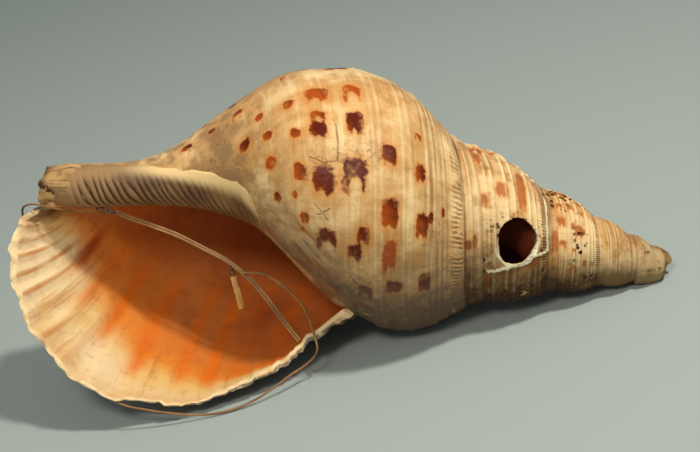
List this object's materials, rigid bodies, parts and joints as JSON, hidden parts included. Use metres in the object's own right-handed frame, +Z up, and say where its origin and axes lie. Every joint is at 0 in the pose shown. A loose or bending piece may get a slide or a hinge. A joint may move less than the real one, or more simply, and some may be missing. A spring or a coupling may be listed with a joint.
{
  "type": "conch shell trumpet",
  "caption": "Triton shell trumpet with a flared mouth, a tall spire and a blow hole in its side, and split cane tied across the mouth with a small toggle.",
  "frame": {"origin": "middle of the shell's footprint, on the floor that it rests on", "axes": "+X towards the apex of the spire, -Y towards the mouth and the blow hole, +Z up"},
  "size_m": [0.3391, 0.1597, 0.141],
  "materials": {
    "shell": "worn porcelain-like shell, satin, cream with red-brown marks",
    "cane": "split cane, satin",
    "fibre": "twisted plant fibre, matte",
    "straw": "dry straw-coloured splinter, matte"
  },
  "bodies": {
    "root": {"shell": "shell", "cane_strip": "cane", "cane_loop": "cane", "canal_knot": "fibre", "toggle_tie": "fibre", "toggle": "straw"}
  },
  "joints": []
}
